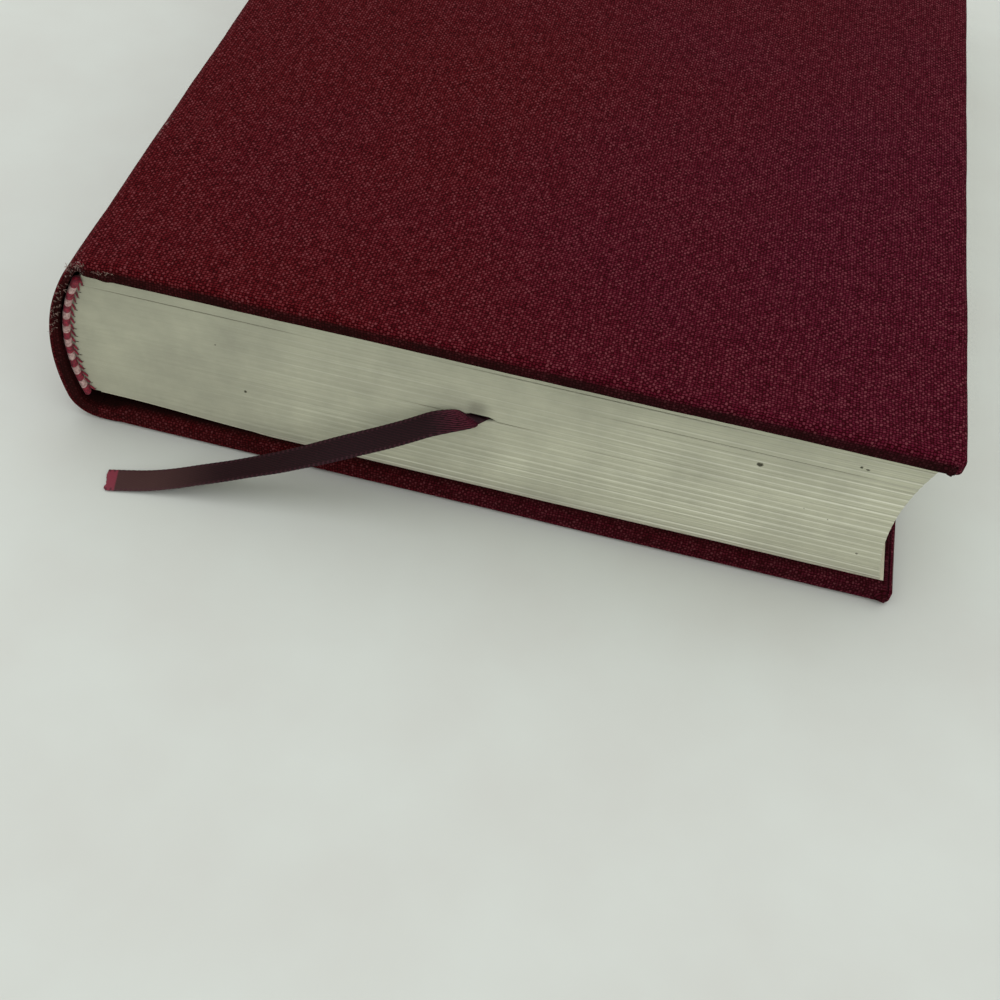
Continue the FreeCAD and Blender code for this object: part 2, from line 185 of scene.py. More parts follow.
def bookCloth(name):
    look = clothLook
    material, tree, shader = newMaterial(name, Roughness=look["roughness"], Specular_IOR_Level=0.03)
    flat = addNode(tree, "UVMap", {}, uv_map="flat")
    # threads drift a little from straight, and each crossing sits a little out of place
    place = flat
    for scale, reach in ((0.09, 1.2), (1.3, 0.42)):
        drift = addNode(tree, "TexNoise", {"Vector": flat, "Scale": scale, "Detail": 1.0}, out=1)
        drift = addNode(tree, "VectorMath", {0: drift, 1: (0.5, 0.5, 0.5)}, operation="SUBTRACT")
        drift = addNode(tree, "VectorMath", {0: drift, 3: reach}, operation="SCALE")
        place = addNode(tree, "VectorMath", {0: place, 1: drift}, operation="ADD")
    pitch = (1 / look["warpPitch"], 1 / look["weftPitch"], 1)
    place = addNode(tree, "VectorMath", {0: place, 1: pitch}, operation="MULTIPLY")
    parts = tree.nodes.new("ShaderNodeSeparateXYZ")
    tree.links.new(place, parts.inputs[0])
    u, v = parts.outputs[0], parts.outputs[1]
    # each float is high over most of its cell: |sin| across it and along it to low powers; the thread that
    # lies on top changes from cell to cell with the parity of the cell's column and row
    waveU = addNode(tree, "Math", {0: u, 1: np.pi}, operation="MULTIPLY")
    waveU = addNode(tree, "Math", {0: addNode(tree, "Math", {0: waveU}, operation="SINE")}, operation="ABSOLUTE")
    waveV = addNode(tree, "Math", {0: v, 1: np.pi}, operation="MULTIPLY")
    waveV = addNode(tree, "Math", {0: addNode(tree, "Math", {0: waveV}, operation="SINE")}, operation="ABSOLUTE")
    cell = addNode(tree, "VectorMath", {0: place}, operation="FLOOR")
    parity = addNode(tree, "VectorMath", {0: cell, 1: (1, 1, 0)}, out=1, operation="DOT_PRODUCT")
    parity = addNode(tree, "Math", {0: parity, 1: 2.0}, operation="FLOORED_MODULO")
    warp = addNode(tree, "Math", {0: addNode(tree, "Math", {0: waveU, 1: 0.35}, operation="POWER"),
                                  1: addNode(tree, "Math", {0: waveV, 1: 0.15}, operation="POWER")},
                   operation="MULTIPLY")
    weft = addNode(tree, "Math", {0: addNode(tree, "Math", {0: waveU, 1: 0.25}, operation="POWER"),
                                  1: addNode(tree, "Math", {0: waveV, 1: 1.1}, operation="POWER")},
                   operation="MULTIPLY")
    weft = addNode(tree, "Math", {0: weft, 1: 0.8}, operation="MULTIPLY")
    height = addNode(tree, "Mix", {0: parity, 2: warp, 3: weft}, data_type="FLOAT")
    # no two crossings catch the light alike, and slubs make short thick runs
    shade = addNode(tree, "TexWhiteNoise", {"Vector": cell}, noise_dimensions="3D")
    slub = addNode(tree, "VectorMath", {0: place, 1: (0.9, 0.16, 0)}, operation="MULTIPLY")
    slub = addNode(tree, "TexNoise", {"Vector": slub, "Scale": 1.0, "Detail": 2.0})
    lift = addNode(tree, "Math", {0: shade, 1: 0.5, 2: 0.6}, operation="MULTIPLY_ADD")
    slub = addNode(tree, "MapRange", {0: slub, 1: 0.3, 2: 0.7, 3: 0.85, 4: 1.15})
    lift = addNode(tree, "Math", {0: lift, 1: slub}, operation="MULTIPLY")
    top = addNode(tree, "Math", {0: height, 1: lift}, operation="MULTIPLY")
    # the colour drifts from red in the middle of the cover to purple at the fore edge and the tail
    spot = addNode(tree, "TexCoord", {}, out=3)
    redToPurple = addNode(tree, "TexNoise", {"Vector": spot, "Scale": 16.0, "Detail": 3.0})
    toEdge = addNode(tree, "VectorMath", {0: spot, 1: (5.0, -1.2, 0)}, out=1, operation="DOT_PRODUCT")
    redToPurple = addNode(tree, "Math", {0: redToPurple, 1: toEdge}, operation="ADD")
    body = addNode(tree, "Mix", {0: addNode(tree, "MapRange", {0: redToPurple, 1: 0.35, 2: 0.95}),
                                 6: colour(look["red"]), 7: colour(look["purple"])}, out=2, data_type="RGBA")
    body = addNode(tree, "Mix", {0: addNode(tree, "MapRange", {0: top, 1: 0.3, 2: 0.66}),
                                 6: colour(look["gap"]), 7: body}, out=2, data_type="RGBA")
    body = addNode(tree, "Mix", {0: addNode(tree, "MapRange", {0: top, 1: 0.66, 2: 1.05, 3: 0.0, 4: 0.5}),
                                 6: body, 7: colour(look["crown"])}, out=2, data_type="RGBA")
    # folds painted nearly black as shade, partly soiling; where the case is handled, the crowns are rubbed pale
    shadedAndSoiled = addNode(tree, "Attribute", {}, out=2, attribute_name="shadedAndSoiled")
    body = addNode(tree, "Mix", {0: shadedAndSoiled, 6: body, 7: colour(look["shadeAndSoilColour"])}, out=2, data_type="RGBA")
    rubbed = addNode(tree, "Attribute", {}, out=2, attribute_name="rubbed")
    fleck = addNode(tree, "TexNoise", {"Vector": flat, "Scale": 1.3, "Detail": 5.0, "Roughness": 0.75})
    fleck = addNode(tree, "Math", {0: fleck, 1: addNode(tree, "MapRange", {0: rubbed, 3: -0.30, 4: 0.08})},
                    operation="ADD")
    fleck = addNode(tree, "MapRange", {0: fleck, 1: 0.62, 2: 0.74, 3: 0.0, 4: 0.7})
    body = addNode(tree, "Mix", {0: fleck, 6: body, 7: colour(look["worn"])}, out=2, data_type="RGBA")
    tree.links.new(body, shader.inputs["Base Color"])
    bump = addNode(tree, "Bump", {"Strength": 0.6, "Distance": 0.12 * mm, "Height": top})
    tree.links.new(bump, shader.inputs["Normal"])
    return material


clothMaterial = bookCloth("starched cotton book cloth, plain weave")

# the cloth of the case: one sheet over the cover, the joint and the spine, turned in all round

caseCloth = dict(edgeRadius=1.4, foldRadius=0.35, backEdgeRadius=0.9, backFoldRadius=0.9, turnIn=15.0,
                 coverDepth=3.5, jointDepth=2.9, spineTop=1.5, spineFoot=2.7, spineEdge=0.6, frontGroove=0.6,
                 backGroove=0.15, slope=1.2, rows=96, frontShoulder=3.0, backShoulder=6.0, frontAngle=32.457,
                 backAngle=-15.443, unevenness=0.10)


def arcRun(x, z, radius, start, end, count):
    # points and outward directions on an arc, its angles counted from -X, up
    angle = np.radians(np.linspace(start, end, count, endpoint=False))
    out = np.stack([-np.cos(angle), np.sin(angle)], 1)
    return np.array([x, z]) + out * radius, out


def lineRun(start, end, count, out):
    t = np.linspace(0, 1, count, endpoint=False)[:, None]
    return np.array(start) * (1 - t) + np.array(end) * t, np.tile(out, (count, 1)).astype(float)


def coverRun(groove, startX, r, fold):
    # the section over one cover, as at the front: joint, slope, face, fore edge, turn-in
    top, fore, c = book["thickness"], book["foreX"], caseCloth
    low = top - c["coverDepth"]
    joint = book["jointX"]
    runs = [
        lineRun((startX, top - groove), (joint - 0.4, top - groove), 9, (0, 1)),
        lineRun((joint - 0.4, top - groove), (joint + c["slope"] + 0.3, top), 6, (0, 1)),
        lineRun((joint + c["slope"] + 0.3, top), (fore - r, top), 64, (0, 1)),
    ]
    angle = np.radians(np.linspace(90, 0, 7, endpoint=False))
    out = np.stack([np.cos(angle), np.sin(angle)], 1)
    runs.append((np.array([fore - r, top - r]) + out * r, out))
    runs.append(lineRun((fore, top - r), (fore, low + fold), 4, (1, 0)))
    angle = np.radians(np.linspace(0, -90, 4))
    out = np.stack([np.cos(angle), np.sin(angle)], 1)
    runs.append((np.array([fore - fold, low + fold]) + out * fold, out))
    runs.append(lineRun((fore - fold - 0.5, low), (fore - c["turnIn"], low), 6, (0, -1)))
    points, outs = (np.vstack(part) for part in zip(*runs))
    # soften the dip of the joint: its height is a smooth step instead of two bends
    dip = smooth(points[:, 0], joint - 1.2, joint + 1.8)
    over = (points[:, 0] < joint + 2.5) & (points[:, 1] > top - groove - 0.01)
    points[over, 1] = (top - groove + groove * dip)[over]
    return points, outs


def clothSheet(points, outs, depth, radius, foreRadius, fold):
    # each point of the section is carried from tail to head; at both ends it goes round an edge of its
    # radius, down by its depth and back in by the turn-in; past the fore edge the folds stop at a mitre
    c, half = caseCloth, book["halfCover"]
    step = np.linalg.norm(np.diff(points, axis=0), axis=1)
    girth = np.concatenate([[0], np.cumsum(step)])
    fore = book["foreX"]
    past = (outs[:, 0] > 0.99) | ((outs[:, 1] < 0) & (points[:, 0] > 0) & (outs[:, 0] > -0.1))
    inset = np.where(past, np.maximum(fore - points[:, 0], 0), 0)
    bend = np.where(past, np.maximum(foreRadius - inset, 0), radius)
    into = np.where(past[:, None], [[1.0, 0.0]], outs)
    quarter = np.radians(np.linspace(0, 90, 7))
    edge, drop, turn = [], [], []
    for angle in quarter:
        edge.append(inset + bend * (1 - np.sin(angle)))
        drop.append(bend * (1 - np.cos(angle)))
    for share in (0.33, 0.66, 1.0):
        edge.append(inset + 0 * bend)
        drop.append(np.where(past, bend, bend + (depth - fold - bend) * share))
    for angle in np.radians([30, 60, 90]):
        edge.append(np.where(past, inset, fold * (1 - np.cos(angle))))
        drop.append(np.where(past, bend, depth - fold + fold * np.sin(angle)))
    for share in (0.02, 0.05, 0.10, 0.3, 1.0):
        edge.append(np.where(past, inset, fold + (c["turnIn"] - fold) * share))
        drop.append(np.where(past, bend, depth - 0.1))
    edge, drop = np.array(edge), np.array(drop)  # rows from the face towards the turn-in's edge
    main = np.linspace(-1, 1, c["rows"])[1:-1, None] * (half - edge[0])[None]
    y = np.vstack([(edge - half)[::-1], main, half - edge])
    down = np.vstack([drop[::-1], 0 * main, drop])
    place = np.stack([points[None, :, 0] - into[None, :, 0] * down, y,
                      points[None, :, 1] - into[None, :, 1] * down], -1)
    # the weave's own flat coordinates: along the girth, and along the length and over the folds
    run = np.linalg.norm(np.diff(place, axis=0), axis=2)
    first = len(edge)
    length = np.vstack([np.zeros((1, len(points))), np.cumsum(run, axis=0)])
    length = length - length[first] + y[first]
    uv = np.stack([np.broadcast_to(girth, y.shape), length], -1)
    # the glued cloth isn't dead flat
    lumps = waves(uv[..., 0], uv[..., 1], 38, 5) * 0.7 + waves(uv[..., 0], uv[..., 1], 9, 6) * 0.3
    lumps = np.minimum(lumps * c["unevenness"] * np.where(past, 0.3, 1.0)[None], 0.8 * c["unevenness"])
    place[..., 0] += outs[None, :, 0] * (lumps - c["unevenness"])
    place[..., 2] += outs[None, :, 1] * (lumps - c["unevenness"])
    # how far over the fold each point is, and how far back in behind it
    over = down / depth
    behind = np.vstack([np.where(past, 0, edge - fold)[::-1], -1 + 0 * main, np.where(past, 0, edge - fold)])
    return place, uv, over, behind * (over > 0.8)


def spineDepth(points):
    # how thick the fold at the head and tail is: thin at the top of the spine, slack at its foot
    c = caseCloth
    onSpine = c["spineTop"] + (c["spineFoot"] - c["spineTop"]) * smooth(-points[:, 1], -28, -7)
    toJoint = smooth(points[:, 0], -72.5, -68.5) * (points[:, 1] > 30)
    return onSpine * (1 - toJoint) + c["jointDepth"] * toJoint


def rubbedPart(place):
    # how much each point has been handled: along the front shoulder, at the fold's edge and the corners
    x, y, z = place[..., 0], place[..., 1], place[..., 2]
    shoulder = smooth(z, 31.5, 36.5) * (1 - smooth(x, -71.5, -66.5))
    tail = smooth(np.abs(y), 105.6, 107.2)
    corner = smooth(x, 74, 78) * tail
    return np.clip(shoulder * (0.75 + 0.25 * waves(x, y, 30, 9)) + 0.55 * tail + 0.2 * corner, 0, 1)


def shadedAndSoiledPart(place, uv, over, behind, face):
    # painted shade, with some soiling on the folds: the lower part of the folds at the head and tail, and the
    # turn-in behind them, painted darkest towards the spine, in the shade under the pages
    wear = 0.5 + 0.5 * waves(uv[..., 0], uv[..., 1], 12, 11)
    fold = smooth(over, 0.22, 0.45) * (face + 0.2 * wear)
    turnIn = smooth(behind, -0.1, 1.2) * (0.94 - 0.2 * smooth(place[..., 0], -50, 0))
    return np.maximum(fold, turnIn * (1 - smooth(place[..., 0], 62, 73)))


def addCaseCloth():
    c = caseCloth
    footZ, turnZ = c["backShoulder"] + c["backGroove"], book["thickness"] - c["frontGroove"] - c["frontShoulder"]
    backReach, frontReach = book["spineRadius"] - c["backShoulder"], book["spineRadius"] - c["frontShoulder"]
    backFold = book["spineX"] - backReach * np.cos(np.radians(c["backAngle"]))
    frontFold = book["spineX"] - frontReach * np.cos(np.radians(c["frontAngle"]))
    spine = [
        arcRun(backFold, footZ, c["backShoulder"], -90, c["backAngle"], 16),
        arcRun(book["spineX"], book["spineZ"], book["spineRadius"], c["backAngle"], c["frontAngle"], 40),
        arcRun(frontFold, turnZ, c["frontShoulder"], c["frontAngle"], 90, 10),
    ]
    cover = coverRun(c["frontGroove"], frontFold, c["edgeRadius"], c["foldRadius"])
    points, outs = (np.vstack(part) for part in zip(*spine, cover))
    onCover = smooth(points[:, 0], book["jointX"] - 1.5, book["jointX"] + 0.6)
    depth = spineDepth(points) * (1 - onCover) + c["coverDepth"] * onCover
    radius = c["spineEdge"] + (c["edgeRadius"] - c["spineEdge"]) * smooth(points[:, 0], -71, -64)
    place, uv, over, behind = clothSheet(points, outs, depth, radius, c["edgeRadius"], c["foldRadius"])
    rows, columns = place.shape[:2]
    front = addPiece("frontCaseCloth", place, gridFaces(rows, columns)[:, ::-1], clothMaterial, uv)
    addMark(front, "rubbed", rubbedPart(place))
    addMark(front, "shadedAndSoiled", shadedAndSoiledPart(place, uv, over, behind, 0.66))
    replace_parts(thicken(front, book["cloth"]), "front_cover_cloth", "spine_cloth")
    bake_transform(front)

    # the back cover's sheet is the front one's turned over, and it starts under the spine
    points, outs = coverRun(c["backGroove"], backFold + book["lean"], c["backEdgeRadius"], c["backFoldRadius"])
    onCover = smooth(points[:, 0], book["jointX"] - 1.5, book["jointX"] + 0.6)
    depth = c["spineFoot"] + (c["coverDepth"] - c["spineFoot"]) * onCover
    radius = 0.4 + (c["backEdgeRadius"] - 0.4) * onCover
    fold = 0.3 + (c["backFoldRadius"] - 0.3) * onCover
    place, uv, over, behind = clothSheet(points, outs, depth, radius, c["backEdgeRadius"], fold)
    place[..., 0] -= book["lean"]
    place[..., 2] = book["thickness"] - place[..., 2]
    uv[..., 0] = -uv[..., 0]
    back = addPiece("backCaseCloth", place, gridFaces(*place.shape[:2]), clothMaterial, uv)
    addMark(back, "rubbed", 0 * over)
    addMark(back, "shadedAndSoiled", shadedAndSoiledPart(place, uv, over, behind, 0.3))
    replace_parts(thicken(back, book["cloth"]), "back_cover_cloth")
    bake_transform(back)


addCaseCloth()
print("case cloth done")

# pages: uncoated cream book paper, guillotined, so the edges show signatures, fine leaf lines and dust

# the crest colour here is a painted highlight on the signatures' upper leaves; the dust colour is both dust and
# painted shade
paperLook = dict(light="#cbccb3", mid="#b4b49d", dark="#67655a", crestHighlight="#e2e3d0", dustAndShade="#88887a", roughness=0.9,
                 marks=[(47.4, 25.1, 0.55), (-42.8, 13.8, 0.28), (63.2, 29.8, 0.26), (64.3, 29.5, 0.30),
                        (68.6, 8.9, 0.24), (-47.8, 23.7, 0.16), (57.0, 17.2, 0.14), (61.5, 15.8, 0.13)],
                 greyPatch=(-1.0, 22.9, 3.0))


pages = dict(foreHollow=2.9, foreSquare=2.1, rowsUp=150, alongTail=230, alongFore=90, signature=1.45,
             signatureDepth=0.12, leafDepth=0.03, slitX=-0.5, slitZ=20.7, slitHalf=2.2, slitDepth=1.3,
             slump=1.9,
             gaps=[(20.7, -2.0, 15.0), (30.5, -51.0, 24.0), (27.7, 44.0, 30.0), (31.9, 20.0, 34.0)],
             cornerLift=1.25, liftFrom=34.0, liftTo=68.0)


def cutPaper(name):
    look = paperLook
    material, tree, shader = newMaterial(name, Roughness=look["roughness"], Specular_IOR_Level=0.1)
    place = addNode(tree, "TexCoord", {}, out=3)
    parts = tree.nodes.new("ShaderNodeSeparateXYZ")
    tree.links.new(place, parts.inputs[0])
    height = addNode(tree, "Attribute", {}, out=2, attribute_name="leafHeight")
    ridge = addNode(tree, "Attribute", {}, out=2, attribute_name="ridge")
    # leaf lines: noise that is long along the edge and as fine as the leaves up it
    lines = []
    for pitch, stretch, seed in ((0.62, 9.0, 0.0), (0.25, 22.0, 3.1), (0.11, 60.0, 7.7)):
        across = addNode(tree, "Math", {0: height, 1: 1 / pitch}, operation="MULTIPLY")
        alongX = addNode(tree, "Math", {0: parts.outputs[0], 1: stretch}, operation="MULTIPLY")
        alongY = addNode(tree, "Math", {0: parts.outputs[1], 1: stretch, 2: seed}, operation="MULTIPLY_ADD")
        spot = addNode(tree, "CombineXYZ", {0: alongX, 1: alongY, 2: across})
        lines.append(addNode(tree, "TexNoise", {"Vector": spot, "Scale": 1.0, "Detail": 2.0, "Roughness": 0.6}))
    both = addNode(tree, "Math", {0: lines[0], 1: lines[1]}, operation="ADD")
    both = addNode(tree, "Math", {0: both, 1: lines[2]}, operation="ADD")
    # near the spine the lines are closed up and faint
    calm = addNode(tree, "MapRange", {0: ridge, 3: 0.35, 4: 1.0})
    both = addNode(tree, "Math", {0: addNode(tree, "Math", {0: both, 1: 1.5}, operation="SUBTRACT"), 1: calm},
                   operation="MULTIPLY")
    body = addNode(tree, "Mix", {0: addNode(tree, "MapRange", {0: both, 1: -0.35, 2: 0.35}),
                                 6: colour(look["mid"]), 7: colour(look["light"])}, out=2, data_type="RGBA")
    low = addNode(tree, "MapRange", {0: both, 1: -0.24, 2: -0.42, 3: 0.0, 4: 0.55})
    body = addNode(tree, "Mix", {0: low, 6: body, 7: colour(look["dark"])}, out=2, data_type="RGBA")
    # painted highlight: each signature's upper leaves get a light line, no two alike, over a faint painted shade
    turn = addNode(tree, "Math", {0: height, 1: 1 / pages["signature"]}, operation="MULTIPLY")
    share = addNode(tree, "Math", {0: turn}, operation="FRACT")
    own = addNode(tree, "Math", {0: turn}, operation="FLOOR")
    own = addNode(tree, "TexWhiteNoise", {"W": own}, noise_dimensions="1D")
    crestHighlight = addNode(tree, "Math", {0: addNode(tree, "MapRange", {0: share, 1: 0.76, 2: 0.87}),
                                   1: addNode(tree, "MapRange", {0: share, 1: 0.99, 2: 0.92})}, operation="MULTIPLY")
    crestHighlight = addNode(tree, "Math", {0: crestHighlight, 1: addNode(tree, "MapRange", {0: own, 3: 0.25, 4: 0.95})},
                    operation="MULTIPLY")
    stray = addNode(tree, "MapRange", {0: lines[1], 1: 0.60, 2: 0.72, 3: 0.0, 4: 0.7})
    crestHighlight = addNode(tree, "Math", {0: crestHighlight, 1: stray}, operation="MAXIMUM")
    crestHighlight = addNode(tree, "Math", {0: crestHighlight, 1: ridge}, operation="MULTIPLY")
    body = addNode(tree, "Mix", {0: crestHighlight, 6: body, 7: colour(look["crestHighlight"])}, out=2, data_type="RGBA")
    shade = addNode(tree, "MapRange", {0: share, 1: 0.22, 2: 0.0, 3: 0.0, 4: 0.4})
    shade = addNode(tree, "Math", {0: shade, 1: ridge}, operation="MULTIPLY")
    body = addNode(tree, "Mix", {0: shade, 6: body, 7: colour(look["dustAndShade"])}, out=2, data_type="RGBA")
    # dust, more of it towards the spine
    grime = addNode(tree, "TexNoise", {"Vector": place, "Scale": 70.0, "Detail": 5.0, "Roughness": 0.65})
    grime = addNode(tree, "Math", {0: grime, 1: addNode(tree, "MapRange", {0: ridge, 3: 0.32, 4: 0.0})},
                    operation="ADD")
    grime = addNode(tree, "MapRange", {0: grime, 1: 0.45, 2: 1.0, 3: 0.0, 4: 0.6})
    body = addNode(tree, "Mix", {0: grime, 6: body, 7: colour(look["dustAndShade"])}, out=2, data_type="RGBA")
    # painted shade: a dark line where leaves stand apart, and the ribbon's way in painted near black as deep shade
    gap = addNode(tree, "Attribute", {}, out=2, attribute_name="gap")
    body = addNode(tree, "Mix", {0: addNode(tree, "MapRange", {0: gap, 4: 0.55}), 6: body, 7: colour("#3b382d")},
                   out=2, data_type="RGBA")
    deep = addNode(tree, "Attribute", {}, out=2, attribute_name="deep")
    body = addNode(tree, "Mix", {0: addNode(tree, "MapRange", {0: deep, 1: 0.15, 2: 0.6}), 6: body,
                                 7: colour("#0c0907")}, out=2, data_type="RGBA")
    # specks of ink, and a grey patch above the ribbon's way in, on the tail edge: x, height and radius, their
    # outlines ragged
    ragged = addNode(tree, "TexNoise", {"Vector": place, "Scale": 2600.0, "Detail": 2.0}, out=1)
    ragged = addNode(tree, "VectorMath", {0: ragged, 1: (0.5, 0.5, 0.5)}, operation="SUBTRACT")
    ragged = addNode(tree, "VectorMath", {0: ragged, 3: 0.7 * mm}, operation="SCALE")
    ragged = addNode(tree, "VectorMath", {0: ragged, 1: place}, operation="ADD")
    for x, z, size in look["marks"]:
        away = addNode(tree, "VectorMath", {0: ragged, 1: (x * mm, -book["halfPages"] * mm, z * mm)}, out=1,
                       operation="DISTANCE")
        away = addNode(tree, "MapRange", {0: away, 1: 1.15 * size * mm, 2: 0.7 * size * mm, 3: 0.0, 4: 0.9})
        body = addNode(tree, "Mix", {0: away, 6: body, 7: colour("#2c2a1e")}, out=2, data_type="RGBA")
    x, z, size = look["greyPatch"]
    away = addNode(tree, "VectorMath", {0: ragged, 1: (x * mm, -book["halfPages"] * mm, z * mm)}, out=1,
                   operation="DISTANCE")
    away = addNode(tree, "MapRange", {0: away, 1: size * mm, 2: 0.2 * mm, 3: 0.0, 4: 0.5},
                   interpolation_type="SMOOTHSTEP")
    body = addNode(tree, "Mix", {0: away, 6: body, 7: colour("#5f5d53")}, out=2, data_type="RGBA")
    tree.links.new(body, shader.inputs["Base Color"])
    bump = addNode(tree, "Bump", {"Strength": 0.5, "Distance": 0.08 * mm, "Height": both})
    tree.links.new(bump, shader.inputs["Normal"])
    return material


paperMaterial = cutPaper("uncoated book paper, guillotined")


def foreEdge(z):
    # the hollow fore edge: a circle through its two corners and its middle, on a slumped book
    low, high = book["pagesBottom"], book["pagesTop"]
    middle, half = (low + high) / 2, (high - low) / 2
    radius = (half ** 2 + pages["foreHollow"] ** 2) / (2 * pages["foreHollow"])
    dip = np.sqrt(radius ** 2 - (z - middle) ** 2) - (radius - pages["foreHollow"])
    slump = pages["slump"] * (1 - z / book["thickness"])
    return book["foreX"] - pages["foreSquare"] - slump - dip


def backEdge(z):
    return book["backX"] - np.sqrt(book["backRadius"] ** 2 - (z - book["backZ"]) ** 2)


def cornerLift(x, z):
    # towards the spine the lowest leaves are drawn up off the back cover
    share = smooth(-x, pages["liftFrom"], pages["liftTo"]) ** 1.3
    return pages["cornerLift"] * share * np.clip(1 - (z - book["pagesBottom"]) / 16, 0, 1) ** 2


def addPages():
    p, low, high, half = pages, book["pagesBottom"], book["pagesTop"], book["halfPages"]
    z = np.linspace(low, high, p["rowsUp"])
    near = [g + d for g, _, _ in p["gaps"] for d in (-0.12, -0.04, 0.04, 0.12)]
    near = np.array(near + [p["slitZ"] + d for d in (-0.75, -0.55, -0.4, -0.25, 0.25, 0.4, 0.55, 0.75)])
    z = np.sort(np.concatenate([z[np.min(np.abs(z[:, None] - near[None]), axis=1) > 0.06], near]))
    # round the block: along the tail, up the fore edge, back along the head and down the back
    tail = np.stack([np.linspace(0, 1, p["alongTail"]), np.full(p["alongTail"], -half)], 1)
    fore = np.stack([np.ones(p["alongFore"]), np.linspace(-half, half, p["alongFore"] + 2)[1:-1]], 1)
    head = np.stack([np.linspace(1, 0, p["alongTail"]), np.full(p["alongTail"], half)], 1)
    spine = np.stack([np.zeros(8), np.linspace(half, -half, 10)[1:-1]], 1)
    ring = np.vstack([tail, fore, head, spine])
    out = np.vstack([np.tile([0, -1], (len(tail), 1)), np.tile([1, 0], (len(fore), 1)),
                     np.tile([0, 1], (len(head), 1)), np.tile([-1, 0], (len(spine), 1))])
    zz = np.broadcast_to(z, (len(ring), len(z)))
    x = backEdge(zz) + (foreEdge(zz) - backEdge(zz)) * ring[:, :1]
    y = np.broadcast_to(ring[:, 1:], zz.shape)
    onTail, onFore = (out[:, 1:] < 0), (out[:, :1] > 0)
    # the signatures show most at the fore edge and low down beside it, and hardly at all near the spine
    ridge = smooth(x, -62, -8) * (0.45 + 0.55 * smooth(0.5 * x + 1.2 * (18 - zz), -12, 22))
    ridge = np.clip(np.where(onFore, 1.0, ridge) * (0.8 + 0.3 * waves(x + y, zz * 2, 60, 24)), 0, 1)
    # relief: each signature swells up to its upper leaves, which fall back steeply
    along = np.where(onFore, y, x)
    waved = zz + 0.22 * waves(along, zz * 3, 90, 21)
    share = waved / p["signature"] % 1
    swell = smooth(share, 0.0, 0.78) * (1 - smooth(share, 0.86, 1.0)) - 1
    leaf = waves(along * 0.012, waved, 0.9, 22, 9) * 0.6 + waves(along * 0.03, waved, 0.45, 23, 9) * 0.4
    relief = p["signatureDepth"] * swell * ridge + p["leafDepth"] * leaf
    relief = np.where(out[:, :1] < 0, 0, relief) - 0.04
    # leaves that stand apart, and the way in that the ribbon holds open, carved and marked for painted shade
    gap = np.zeros(zz.shape)
    for height, middle, reach in p["gaps"]:
        fade = np.where(onTail, 1 - smooth(np.abs(x - middle), reach * 0.4, reach), 0)
        gap = np.maximum(gap, np.clip(1.2 - np.abs(zz - height) / 0.1, 0, 1) * fade)
    core = 1 - smooth(np.abs(x - p["slitX"]), p["slitHalf"] - 0.6, p["slitHalf"] + 1.0)
    deep = np.where(onTail, np.exp(-((zz - p["slitZ"]) / (0.06 + 0.38 * core)) ** 2) * core, 0)
    relief = relief - 0.2 * gap - p["slitDepth"] * deep
    place = np.stack([x + out[:, :1] * relief, y + out[:, 1:] * relief, zz + cornerLift(x, zz)], -1)
    faces = gridFaces(len(ring), len(z), closed=True)
    count = len(ring)
    lid = [np.arange(count)[::-1] * len(z), np.arange(count) * len(z) + len(z) - 1]
    block = addPiece("pages", place, [list(f) for f in faces] + [list(f) for f in lid], paperMaterial, sharp=True)
    for name, amount in (("leafHeight", waved), ("ridge", ridge), ("gap", gap), ("deep", deep)):
        addMark(block, name, amount)
    smoothed = np.ones(len(block.data.polygons), bool)
    smoothed[-2:] = False
    block.data.polygons.foreach_set("use_smooth", smoothed)
    block.data.set_sharp_from_angle(angle=np.radians(50))
    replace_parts(block, "text_block")
    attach(block, "book_block")


def addBackLeaf(name, node, body, reach, top, thickness):
    # a leaf over the back cover, from its left to its right edge
    x = np.linspace(*reach, 120)[:, None]
    y = np.array([-1, -0.995, -0.91, -0.9, 0, 0.9, 0.91, 0.995, 1])[None] * book["halfPages"]
    x, y = np.broadcast_arrays(x, y)
    z = np.full(x.shape, top)
    if node == "back_flyleaf":
        z = z + cornerLift(x, top)
    else:
        # it steps down off the turned-in cloth onto the board, and its corners are cut back by the joint
        bare = (1 - smooth(x, 58, 61)) * (1 - smooth(np.abs(y), 91, 94.5)) * smooth(x, -42, -39)
        z = z - book["cloth"] * bare
        y = y - np.sign(y) * 1.8 * (1 - smooth(x, -54, -38)) * (np.abs(y) > 100)
    leaf = addPiece(name, np.stack([x, y, z], -1), gridFaces(*x.shape), endpaper, sharp=True)
    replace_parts(thicken(leaf, thickness), node)
    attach(leaf, body)


endpaper = fibrous("wove endpaper", "#cdc9b3", "#bfbba5", 1500)
addPages()
addBackLeaf("backFlyleaf", "back_flyleaf", "book_block", (-70.8, 74.0), book["pagesBottom"], 0.15)
addBackLeaf("backPastedown", "back_pastedown", "back_cover", (-66.2, 74.9), 3.65, 0.15)
print("pages done")

# ribbon marker: polyester satin with a woven picot edge

# the sheen colour here is a painted highlight where the ribbon bends out of the pages
ribbonLook = dict(dark="#120408", mid="#290a13", paintedSheen="#7c3147", picot="#412029", worn="#4c3331", cut="#7d3340")


# the route, the fold where it comes out and the way in are measured from the fore edge and the tail
ribbon = dict(width=4.9, thickness=0.28, cup=0.10, picotPitch=0.9, picot=0.12, length=68.0, roll=17.0, cutFrom=67.0,
              foldHigh=(-82.6, 2.1, 21.85), foldLow=(-78.6, 2.0, 19.6), wayHigh=(-80.9, 3.3, 20.7),
              wayLow=(-76.9, 3.1, 20.4), anchor=(-143.0, 200.4, 19.6),
              route=[(-78.6, 0.4, 21.2), (-83.0, -0.9, 22.7), (-91.1, -2.8, 17.95), (-100.5, -4.8, 13.4),
                     (-109.6, -6.7, 9.0), (-116.5, -8.2, 6.3), (-123.5, -9.7, 3.9), (-131.0, -11.3, 1.5),
                     (-136.0, -12.4, 0.55), (-141.6, -13.6, 0.3)])


